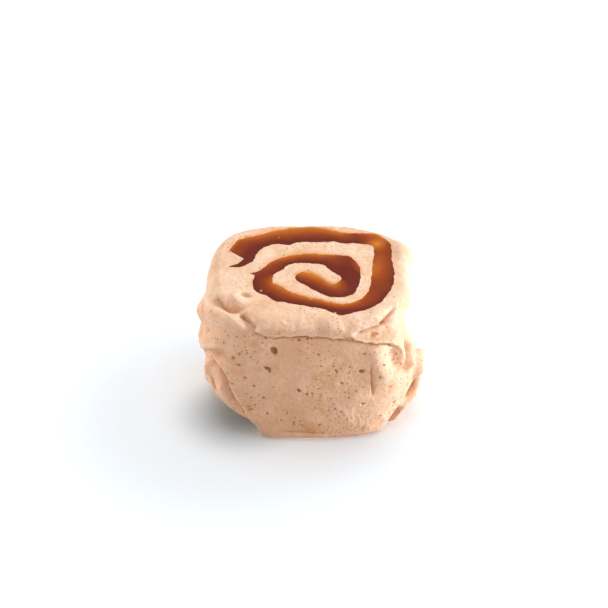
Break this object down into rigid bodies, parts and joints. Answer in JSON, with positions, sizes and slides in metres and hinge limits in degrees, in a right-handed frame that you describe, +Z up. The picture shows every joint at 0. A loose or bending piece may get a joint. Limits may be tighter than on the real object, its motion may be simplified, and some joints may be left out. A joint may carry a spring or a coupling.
{
  "type": "salt water taffy",
  "caption": "Soft squarish chunk of pulled cream taffy with folded, wrinkled sides and a caramel ribbon that swirls through it from the upper cut face to the lower one.",
  "frame": {"origin": "middle of the chunk's box, on the lower cut face it stands on", "axes": "+X across the wide side to the right as pictured, +Y away from the viewer, +Z up along the rope it was cut from"},
  "size_m": [0.0263, 0.0209, 0.0167],
  "materials": {
    "cream_taffy": "pulled, air-filled sugar taffy, satin, with fine brown specks and small pits",
    "caramel": "clear red-brown caramel, cut smooth and glossy"
  },
  "bodies": {
    "root": {"taffy": "cream_taffy", "caramel_swirl": "caramel"}
  },
  "joints": []
}
